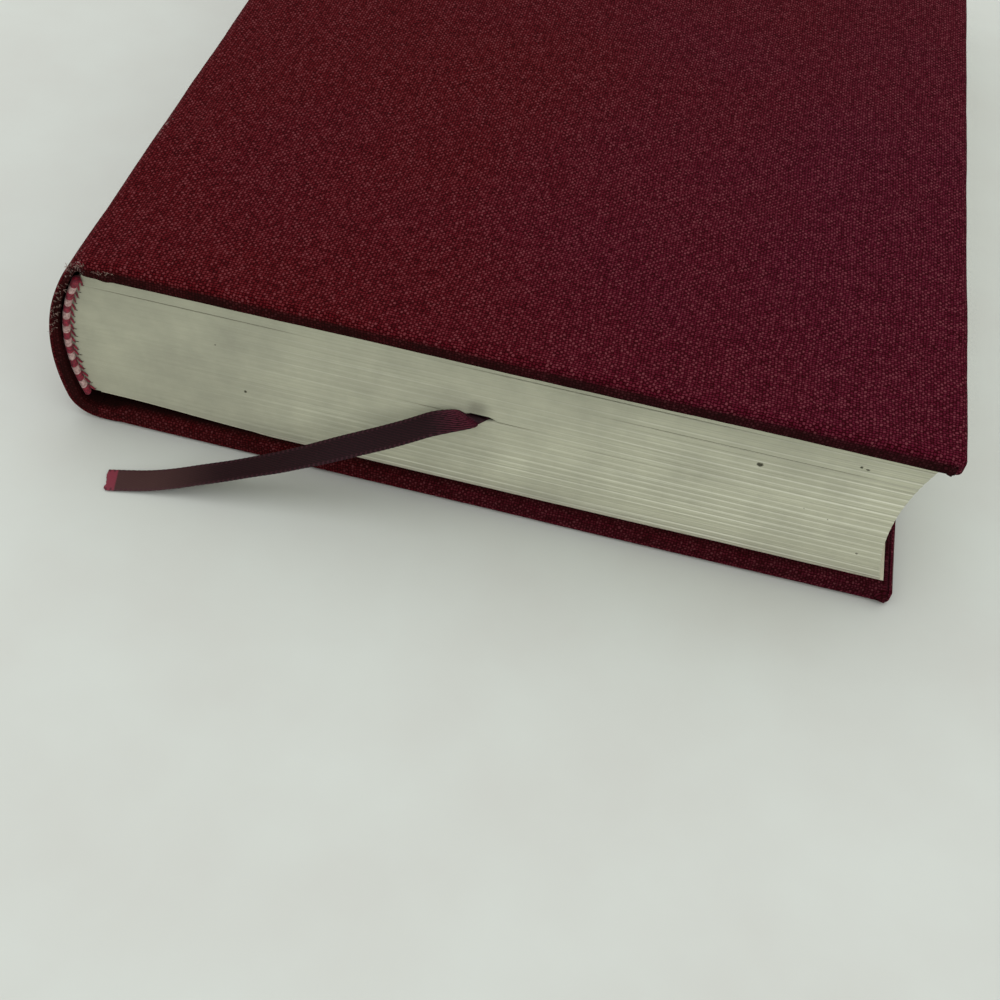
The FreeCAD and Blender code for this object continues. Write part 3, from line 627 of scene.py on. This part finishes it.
def satin(name):
    look = ribbonLook
    material, tree, shader = newMaterial(name, Roughness=0.5, Specular_IOR_Level=0.14)
    flat = addNode(tree, "UVMap", {}, uv_map="flat")
    parts = tree.nodes.new("ShaderNodeSeparateXYZ")
    tree.links.new(flat, parts.inputs[0])
    along, across = parts.outputs[0], parts.outputs[1]
    # long floats along the ribbon that step sideways from weft to weft, so they run in slanting ribs
    slant = addNode(tree, "Math", {0: along, 1: 2.6}, operation="MULTIPLY")
    slant = addNode(tree, "Math", {0: across, 1: 5.0, 2: slant}, operation="MULTIPLY_ADD")
    rib = addNode(tree, "Math", {0: addNode(tree, "Math", {0: slant, 1: 2.4}, operation="MULTIPLY")},
                  operation="SINE")
    fine = addNode(tree, "CombineXYZ", {
        0: addNode(tree, "Math", {0: along, 1: 1.6}, operation="MULTIPLY"),
        1: addNode(tree, "Math", {0: across, 1: 6.0}, operation="MULTIPLY")})
    thread = addNode(tree, "TexNoise", {"Vector": fine, "Scale": 1.0, "Detail": 3.0})
    tone = addNode(tree, "Math", {0: rib, 1: 0.17, 2: thread}, operation="MULTIPLY_ADD")
    body = addNode(tree, "Mix", {0: addNode(tree, "MapRange", {0: tone, 1: 0.3, 2: 0.7}),
                                 6: colour(look["dark"]), 7: colour(look["mid"])}, out=2, data_type="RGBA")
    # painted highlight: where it bends out of the pages the floats are painted shining; the free end has lost its
    # shine
    bend = addNode(tree, "MapRange", {0: along, 1: 9.0, 2: 1.5}, interpolation_type="SMOOTHSTEP")
    bend = addNode(tree, "Math", {0: bend, 1: addNode(tree, "MapRange", {0: along, 1: -0.5, 2: 0.1})},
                   operation="MULTIPLY")
    bend = addNode(tree, "Math", {0: bend, 1: addNode(tree, "MapRange", {0: tone, 1: 0.42, 2: 0.68})},
                   operation="MULTIPLY")
    body = addNode(tree, "Mix", {0: bend, 6: body, 7: colour(look["paintedSheen"])}, out=2, data_type="RGBA")
    worn = addNode(tree, "MapRange", {0: along, 1: 46.0, 2: 62.0, 3: 0.0, 4: 0.75},
                   interpolation_type="SMOOTHSTEP")
    body = addNode(tree, "Mix", {0: worn, 6: body, 7: colour(look["worn"])}, out=2, data_type="RGBA")
    cut = addNode(tree, "MapRange", {0: along, 1: ribbon["cutFrom"], 2: ribbon["cutFrom"] + 0.25})
    body = addNode(tree, "Mix", {0: cut, 6: body, 7: colour(look["cut"])}, out=2, data_type="RGBA")
    # picots: light loops along both edges
    rim = addNode(tree, "Math", {0: across}, operation="ABSOLUTE")
    rim = addNode(tree, "MapRange", {0: rim, 1: 1.75, 2: 2.05})
    loop = addNode(tree, "Math", {0: addNode(tree, "Math", {0: along, 1: 2 * np.pi / ribbon["picotPitch"]},
                                            operation="MULTIPLY")}, operation="SINE")
    loop = addNode(tree, "MapRange", {0: loop, 1: -0.2, 2: 0.8, 3: 0.0, 4: 0.75})
    rim = addNode(tree, "Math", {0: rim, 1: loop}, operation="MULTIPLY")
    body = addNode(tree, "Mix", {0: rim, 6: body, 7: colour(look["picot"])}, out=2, data_type="RGBA")
    tree.links.new(body, shader.inputs["Base Color"])
    bump = addNode(tree, "Bump", {"Strength": 0.5, "Distance": 0.05 * mm, "Height": tone})
    tree.links.new(bump, shader.inputs["Normal"])
    return material


satinMaterial = satin("woven satin ribbon")


def onBook(spot):
    return np.array([spot[0] + book["foreX"], spot[1] - book["halfCover"], spot[2]])


def ribbonLine():
    # the route's points are the control points of a smooth curve
    curve = bpy.data.curves.new("ribbonLine", "CURVE")
    curve.dimensions = "3D"
    curve.resolution_u = 24
    spline = curve.splines.new("NURBS")
    spline.points.add(len(ribbon["route"]) - 1)
    for knot, spot in zip(spline.points, ribbon["route"]):
        knot.co = (*(onBook(spot) * mm), 1)
    spline.order_u = 3
    spline.use_endpoint_u = True
    holder = bpy.data.objects.new("ribbonLine", curve)
    bpy.context.scene.collection.objects.link(holder)
    bpy.context.view_layer.update()
    traced = bpy.data.meshes.new_from_object(holder)
    line = np.array([tuple(vertex.co) for vertex in traced.vertices]) / mm
    bpy.data.objects.remove(holder)
    bpy.data.curves.remove(curve)
    return line


def addStrip(name, middle, across, thickness, uv, material):
    # a thin closed strip about a grid of middle points: both faces along the grid's normals, round the edges
    ahead = np.gradient(middle, axis=0)
    beside = np.gradient(middle, axis=1)
    up = np.cross(ahead, beside)
    up /= np.linalg.norm(up, axis=2)[..., None]
    half = thickness / 2 * (0.75 - 0.25 * across ** 6)[None, :, None]
    loop = np.concatenate([middle + up * half, (middle - up * half)[:, ::-1]], 1)
    loopUv = np.concatenate([uv, uv[:, ::-1]], 1)
    rows, columns = loop.shape[:2]
    number = np.arange(rows * columns).reshape(rows, columns)
    around = np.hstack([number, number[:, :1]])
    quads = np.stack([around[:-1, :-1], around[1:, :-1], around[1:, 1:], around[:-1, 1:]], -1).reshape(-1, 4)
    faces = [list(quad) for quad in quads] + [list(number[0]), list(number[-1][::-1])]
    return addPiece(name, loop, faces, material, loopUv)


def addRibbon():
    r = ribbon
    line = ribbonLine()
    far = np.concatenate([[0], np.cumsum(np.linalg.norm(np.diff(line, axis=0), axis=1))])
    plan = line[-1] - line[0]
    side = np.array([-plan[1], plan[0], 0]) / np.hypot(plan[0], plan[1])
    if side[1] > 0:
        side = -side
    across = np.linspace(-1, 1, 21)
    at = np.linspace(0, far[-1], 280)
    # at the fold the edge by the pages starts further on than the edge away from them
    start = at[:, None] + (0.3 - 2.5 * across[None]) * np.clip(1 - at / 10, 0, 1)[:, None]
    start = np.clip(start, 0, far[-1])
    middle = np.stack([np.interp(start, far, line[:, i]) for i in range(3)], -1)
    scallop = 1 + r["picot"] / r["width"] * (np.abs(np.sin(np.pi * at / r["picotPitch"])) - 1)
    wide = across[None] * (r["width"] / 2) * scallop[:, None]
    roll = np.radians(r["roll"]) * (1 - smooth(at, 20, 46))[:, None, None]
    lift = r["cup"] * across[None] ** 4 * smooth(middle[..., 2], 0.4, 4)
    lift = lift + 0.05 * waves(at[:, None], across[None] * 2.5, 11, 31) * smooth(middle[..., 2], 0.3, 1.5)
    rise = np.array([0, 0, 1.0])
    middle = middle + wide[..., None] * (side * np.cos(roll) - rise * np.sin(roll)) + rise * lift[..., None]
    # it leaves the fold's slanting line and turns to lie along the route
    share = ((across + 1) / 2)[None, :, None]
    fold = onBook(r["foldHigh"]) * (1 - share) + onBook(r["foldLow"]) * share
    wayIn = onBook(r["wayHigh"]) * (1 - share) + onBook(r["wayLow"]) * share
    turned = smooth(at, 0, 9)[:, None, None]
    middle = fold * (1 - turned) + middle * turned
    middle[..., 1] = np.minimum(middle[..., 1], -book["halfPages"] - 0.2)
    step = np.array([0, 0.3, 0.6, 0.85])[:, None, None]
    middle = np.concatenate([wayIn * (1 - step) + fold * step, middle], 0)
    middle[-1] -= np.array([1.0, 0.2, 0]) * random.uniform(-0.25, 0.3, (len(across), 1))
    at = np.concatenate([[-1.6, -1.1, -0.6, -0.25], at])
    uv = np.stack(np.broadcast_arrays(at[:, None], across[None] * r["width"] / 2), -1)
    piece = addStrip("ribbonMarker", middle, across, r["thickness"], uv, satinMaterial)
    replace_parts(piece, "ribbon_free_end")
    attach(piece, "book_block")
    print("ribbon is %.1f mm long" % far[-1])
    # between the pages it runs on up to the head of the spine
    t = np.linspace(0, 1, 60)[:, None, None]
    anchor = onBook(r["anchor"]) + share * np.array([r["width"], 0, 0])
    inside = anchor * (1 - t) + wayIn * t
    uv = np.stack(np.broadcast_arrays(-200 * (1 - t[..., 0]) - 1.6, across[None] * r["width"] / 2), -1)
    hidden = addStrip("ribbonInPages", inside, across, 0.2, uv, satinMaterial)
    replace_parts(hidden, "ribbon_in_pages")
    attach(hidden, "book_block")


addRibbon()
print("ribbon done")

finishes = {
    "board": fibrous("pressed greyboard", "#8a877c", "#6f6c62", 900),
    "leaf": endpaper,
    "gauze": fibrous("starched gauze", "#cfc8b4", "#9a927d", 700),
    "kraft": fibrous("kraft paper", "#a8845c", "#8c6a46", 900),
    "card": fibrous("flexible card", "#a89a7e", "#92866c", 900),
    "cotton": fibrous("cotton cord and tape", "#d2c9b4", "#b0a690", 2200),
}

# headbands: silk wound round a cord in red and white stripes

headband = dict(radius=0.65, standOff=0.3, stripes=17, slant=20.0, threads=6, lowTrim=2.0, highTrim=4.5,
                tickRadius=0.2, spikeRadius=0.06, red="#981a34", redDark="#560c1e", white="#cdb0a9",
                whiteDark="#96706c", spike="#2b0d10")


def silk(name, light, dark):
    material, tree, shader = newMaterial(name, Roughness=0.5, Specular_IOR_Level=0.3, Sheen_Weight=0.2)
    place = addNode(tree, "TexCoord", {}, out=3)
    twist = addNode(tree, "TexNoise", {"Vector": place, "Scale": 2500.0, "Detail": 3.0})
    body = addNode(tree, "Mix", {0: addNode(tree, "MapRange", {0: twist, 1: 0.35, 2: 0.65}),
                                 6: colour(dark), 7: colour(light)}, out=2, data_type="RGBA")
    tree.links.new(body, shader.inputs["Base Color"])
    bump = addNode(tree, "Bump", {"Strength": 0.4, "Distance": 0.05 * mm, "Height": twist})
    tree.links.new(bump, shader.inputs["Normal"])
    return material


redSilk = silk("red wound silk", headband["red"], headband["redDark"])
whiteSilk = silk("white wound silk", headband["white"], headband["whiteDark"])
darkThread = silk("dark sewing thread", headband["spike"], headband["spike"])


def bandPlace(angle, inward, end):
    # points on the bead's middle line, the way out of the back, and the slanted way along the pages' end
    reach = book["backRadius"] + headband["standOff"] - inward
    middle = np.stack([book["backX"] - reach * np.cos(angle), 0 * angle, book["backZ"] + reach * np.sin(angle)], -1)
    out = np.stack([-np.cos(angle), 0 * angle, np.sin(angle)], -1)
    rise = np.tan(np.radians(headband["slant"]))
    side = np.stack([rise * np.sin(angle), 1 + 0 * angle, rise * np.cos(angle)], -1)
    middle[..., 1] = end * (book["halfPages"] + headband["radius"])
    return middle, out, side


def addHeadband(name, end):
    h = headband
    low = np.arcsin((book["pagesBottom"] - book["backZ"]) / book["backRadius"]) + np.radians(h["lowTrim"])
    high = np.arcsin((book["pagesTop"] - book["backZ"]) / book["backRadius"]) - np.radians(h["highTrim"])
    stripe = (high - low) / h["stripes"]
    columns = h["threads"] * 5 + 1
    turn = np.linspace(0, 2 * np.pi, 20, endpoint=False)
    for which, material, node in ((0, redSilk, "red"), (1, whiteSilk, "white")):
        points, faces, uvs, count = [], [], [], 0
        for number in range(which, h["stripes"], 2):
            # one stripe: turns of thread side by side, each a rounded ridge, closed at both ends
            t = np.linspace(0, 1, columns)
            angle = low + stripe * (number + t)
            middle, out, side = bandPlace(angle, 0, end)
            swell = h["radius"] * (0.93 + 0.10 * np.abs(np.sin(np.pi * h["threads"] * t)) + 0.04 * random.normal())
            swell[[0, -1]] = 0.01
            ring = (middle[:, None] + out[:, None] * np.cos(turn)[None, :, None] * swell[:, None, None]
                    + side[:, None] * np.sin(turn)[None, :, None] * swell[:, None, None])
            ring[..., 2] = np.maximum(ring[..., 2], 3.3)
            points.append(ring.reshape(-1, 3))
            grid = np.arange(columns * 20).reshape(columns, 20)
            grid = np.hstack([grid, grid[:, :1]]) + count
            quads = np.stack([grid[:-1, :-1], grid[:-1, 1:], grid[1:, 1:], grid[1:, :-1]], -1).reshape(-1, 4)
            faces += [list(q if end > 0 else q[::-1]) for q in quads]
            faces += [list(grid[0, :-1][::1 if end < 0 else -1]), list(grid[-1, :-1][::-1 if end < 0 else 1])]
            uvs.append(np.stack(np.broadcast_arrays((angle * 34)[:, None], turn[None]), -1).reshape(-1, 2))
            count += columns * 20
        piece = addPiece(name + "Band" + node.title(), np.vstack(points), faces, material, np.vstack(uvs))
        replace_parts(piece, name + "band_" + node)
        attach(piece, "book_block")
    # where the silk is tied down into the leaves: a red tick for each stripe, and dark thread ends between
    ticks, spikes = [], []
    face = end * (book["halfPages"] + 0.12)
    for number in range(h["stripes"]):
        # from the bead's inner side down onto the pages' end, leaning towards the next stripe
        angle = low + stripe * (number + np.linspace(1.0, 0.1, 7) + random.uniform(-0.1, 0.1))
        inward = h["radius"] * 0.85 + np.linspace(0, 0.7 if number % 2 == 0 else 0.5, 7)
        tick = np.stack([bandPlace(a, i, end)[0] for a, i in zip(angle, inward)])
        tick[:, 1] = face + end * 0.3 * (1 - np.linspace(0, 1, 7) ** 0.5)
        ticks.append(tick)
        angle = low + stripe * (number + 0.1 + random.uniform(-0.15, 0.15)) + np.linspace(0, 0.004, 5)
        inward = h["radius"] + 0.4 + np.linspace(0, random.uniform(0.3, 0.85), 5)
        spike = np.stack([bandPlace(a, i, end)[0] for a, i in zip(angle, inward)])
        spike[:, 1] = face
        spikes.append(spike)
    # the tape the silk is sewn to, down the back of the pages
    angle, y = np.meshgrid(np.linspace(low + 0.02, high, 40), end * np.linspace(91.0, 104.9, 4), indexing="ij")
    reach = book["backRadius"] + 0.3
    tape = np.stack([book["backX"] - reach * np.cos(angle), y, book["backZ"] + reach * np.sin(angle)], -1)
    piece = thicken(addPiece(name + "BandTape", tape, gridFaces(40, 4)[:, ::end], finishes["cotton"]), 0.25)
    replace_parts(piece, name + "band_tape")
    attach(piece, "book_block")
    # the cord inside the silk
    angle = np.linspace(low + 0.004, high - 0.004, 60)
    piece = addThreads(name + "BandCore", [bandPlace(angle, 0, end)[0]], [0.4], finishes["cotton"])
    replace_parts(piece, name + "band_core")
    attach(piece, "book_block")
    for node, lines, radius, material in (("Ticks", ticks, h["tickRadius"], redSilk),
                                          ("Spikes", spikes, h["spikeRadius"], darkThread)):
        piece = addThreads(name + "Band" + node, lines, [radius] * len(lines), material)
        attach(piece, "book_block")


addHeadband("tail", -1)
addHeadband("head", 1)
print("headbands done")

# cotton threads that have worked loose from the cut cloth at the tail

fray = dict(radius=0.035, pale="#a89488", brown="#5a3a33", shoulder=26, corner=18, spine=70)


def looseThreads(count, where, reach, seed):
    # short bent threads: each leaves its root in a random direction and curls as it goes
    pick = np.random.default_rng(seed)
    lines = []
    for number in range(count):
        t = np.linspace(0, pick.uniform(0.5, 1.0) * reach, 8)[:, None]
        way = pick.normal(0, 1, 3) * (1.0, 0.35, 0.8)
        curl = np.cross(way, pick.normal(0, 1, 3))
        way, curl = way / np.linalg.norm(way), curl / np.linalg.norm(curl)
        line = where(pick.uniform(0, 1)) + way * np.sin(t * 1.1) + curl * (1 - np.cos(t * 1.1)) * 0.8
        line[:, 1] = np.clip(line[:, 1], -book["halfCover"] - 0.45, -book["halfCover"] + 0.1)
        lines.append(line)
    return lines


def onSpineEdge(t):
    # along the spine's tail edge, from half-way down it up to under the shoulder
    z = 20.0 + 13.0 * t
    reach = book["spineRadius"] - 0.5 - 1.1 * (7 * t % 1)
    return np.array([book["spineX"] - np.sqrt(reach ** 2 - (z - book["spineZ"]) ** 2),
                     -book["halfCover"] - 0.1, z])


def onShoulder(t):
    return np.array([-72.5 + 4.0 * t, -book["halfCover"] - 0.1, 36.2 + 1.2 * t])


def onCorner(t):
    return np.array([-66.8 + 3.2 * t, -book["halfCover"] - 0.1, 36.6 + 0.6 * t])


frayed = fibrous("frayed cotton", fray["pale"], fray["brown"], 1400)
for name, lines, body in (
        ("frayedThreadsSpine", looseThreads(fray["spine"], onSpineEdge, 0.6, 3)
         + looseThreads(fray["shoulder"], onShoulder, 0.8, 4), "book_block"),
        ("frayedThreadsCover", looseThreads(fray["corner"], onCorner, 0.9, 5), "front_cover")):
    piece = addThreads(name, lines, random.uniform(0.6, 1.2, len(lines)) * fray["radius"], frayed)
    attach(piece, body)
print("frayed threads done")

# hidden and half-hidden pieces keep their solids and get their own finishes

plainLook = {
    "front_board": "board", "back_board": "board", "front_pastedown": "leaf",
    "front_flyleaf": "leaf", "spine_mull": "gauze", "front_mull_flange": "gauze",
    "back_mull_flange": "gauze", "spine_lining": "kraft", "spine_inlay": "card",
}


for node, finish in plainLook.items():
    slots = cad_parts[node].data.materials
    slots.clear()
    slots.append(finishes[finish])
print("hidden pieces done")

# camera: where the photograph was taken from

view = dict(place=(22.487, -267.745, 191.506), right=(0.971, 0.21811, 0.09787), down=(0.22886, -0.72976, -0.64426),
            ahead=(-0.0691, 0.64797, -0.75852), lens=49.574)
camera = bpy.data.objects.new("photoCamera", bpy.data.cameras.new("photoCamera"))
bpy.context.scene.collection.objects.link(camera)
aim = Matrix((Vector(view["right"]), -Vector(view["down"]), -Vector(view["ahead"]))).transposed().to_4x4()
aim.translation = Vector(view["place"]) * mm
camera.matrix_world = aim
camera.data.sensor_width = 36
camera.data.lens = view["lens"]
camera.data.clip_start = 0.01
bpy.context.scene.camera = camera

# table, daylight from above and behind, and a soft fill

stageLook = dict(table="#cfd4cd", sky=0.9, lampPower=9.0, lampSize=2.2, lampPlace=(-0.4, 0.35, 1.75))
table, tree, shader = newMaterial("matt painted table", Roughness=0.7, Specular_IOR_Level=0.2)
place = addNode(tree, "TexCoord", {}, out=3)
blotch = addNode(tree, "TexNoise", {"Vector": place, "Scale": 40.0, "Detail": 4.0})
tint = addNode(tree, "Mix", {0: addNode(tree, "MapRange", {0: blotch, 1: 0.3, 2: 0.7}), 6: colour("#cbcec7"),
                             7: colour(stageLook["table"])}, out=2, data_type="RGBA")
tree.links.new(tint, shader.inputs["Base Color"])
floor = addPiece("tableTop", [(-3000, -3000, 0), (3000, -3000, 0), (3000, 3000, 0), (-3000, 3000, 0)],
                 [(0, 1, 2, 3)], table, sharp=True)
world = bpy.data.worlds.new("daylight")
world.use_nodes = True
world.node_tree.nodes["Background"].inputs[0].default_value = (1, 1, 1, 1)
world.node_tree.nodes["Background"].inputs[1].default_value = stageLook["sky"]
bpy.context.scene.world = world
lamp = bpy.data.objects.new("windowLight", bpy.data.lights.new("windowLight", "AREA"))
lamp.data.energy = stageLook["lampPower"]
lamp.data.size = stageLook["lampSize"]
lamp.location = stageLook["lampPlace"]
lamp.rotation_euler = (-lamp.location).to_track_quat("-Z", "Y").to_euler()
bpy.context.scene.collection.objects.link(lamp)
bpy.context.scene.view_settings.view_transform = "Standard"
print("stage done")
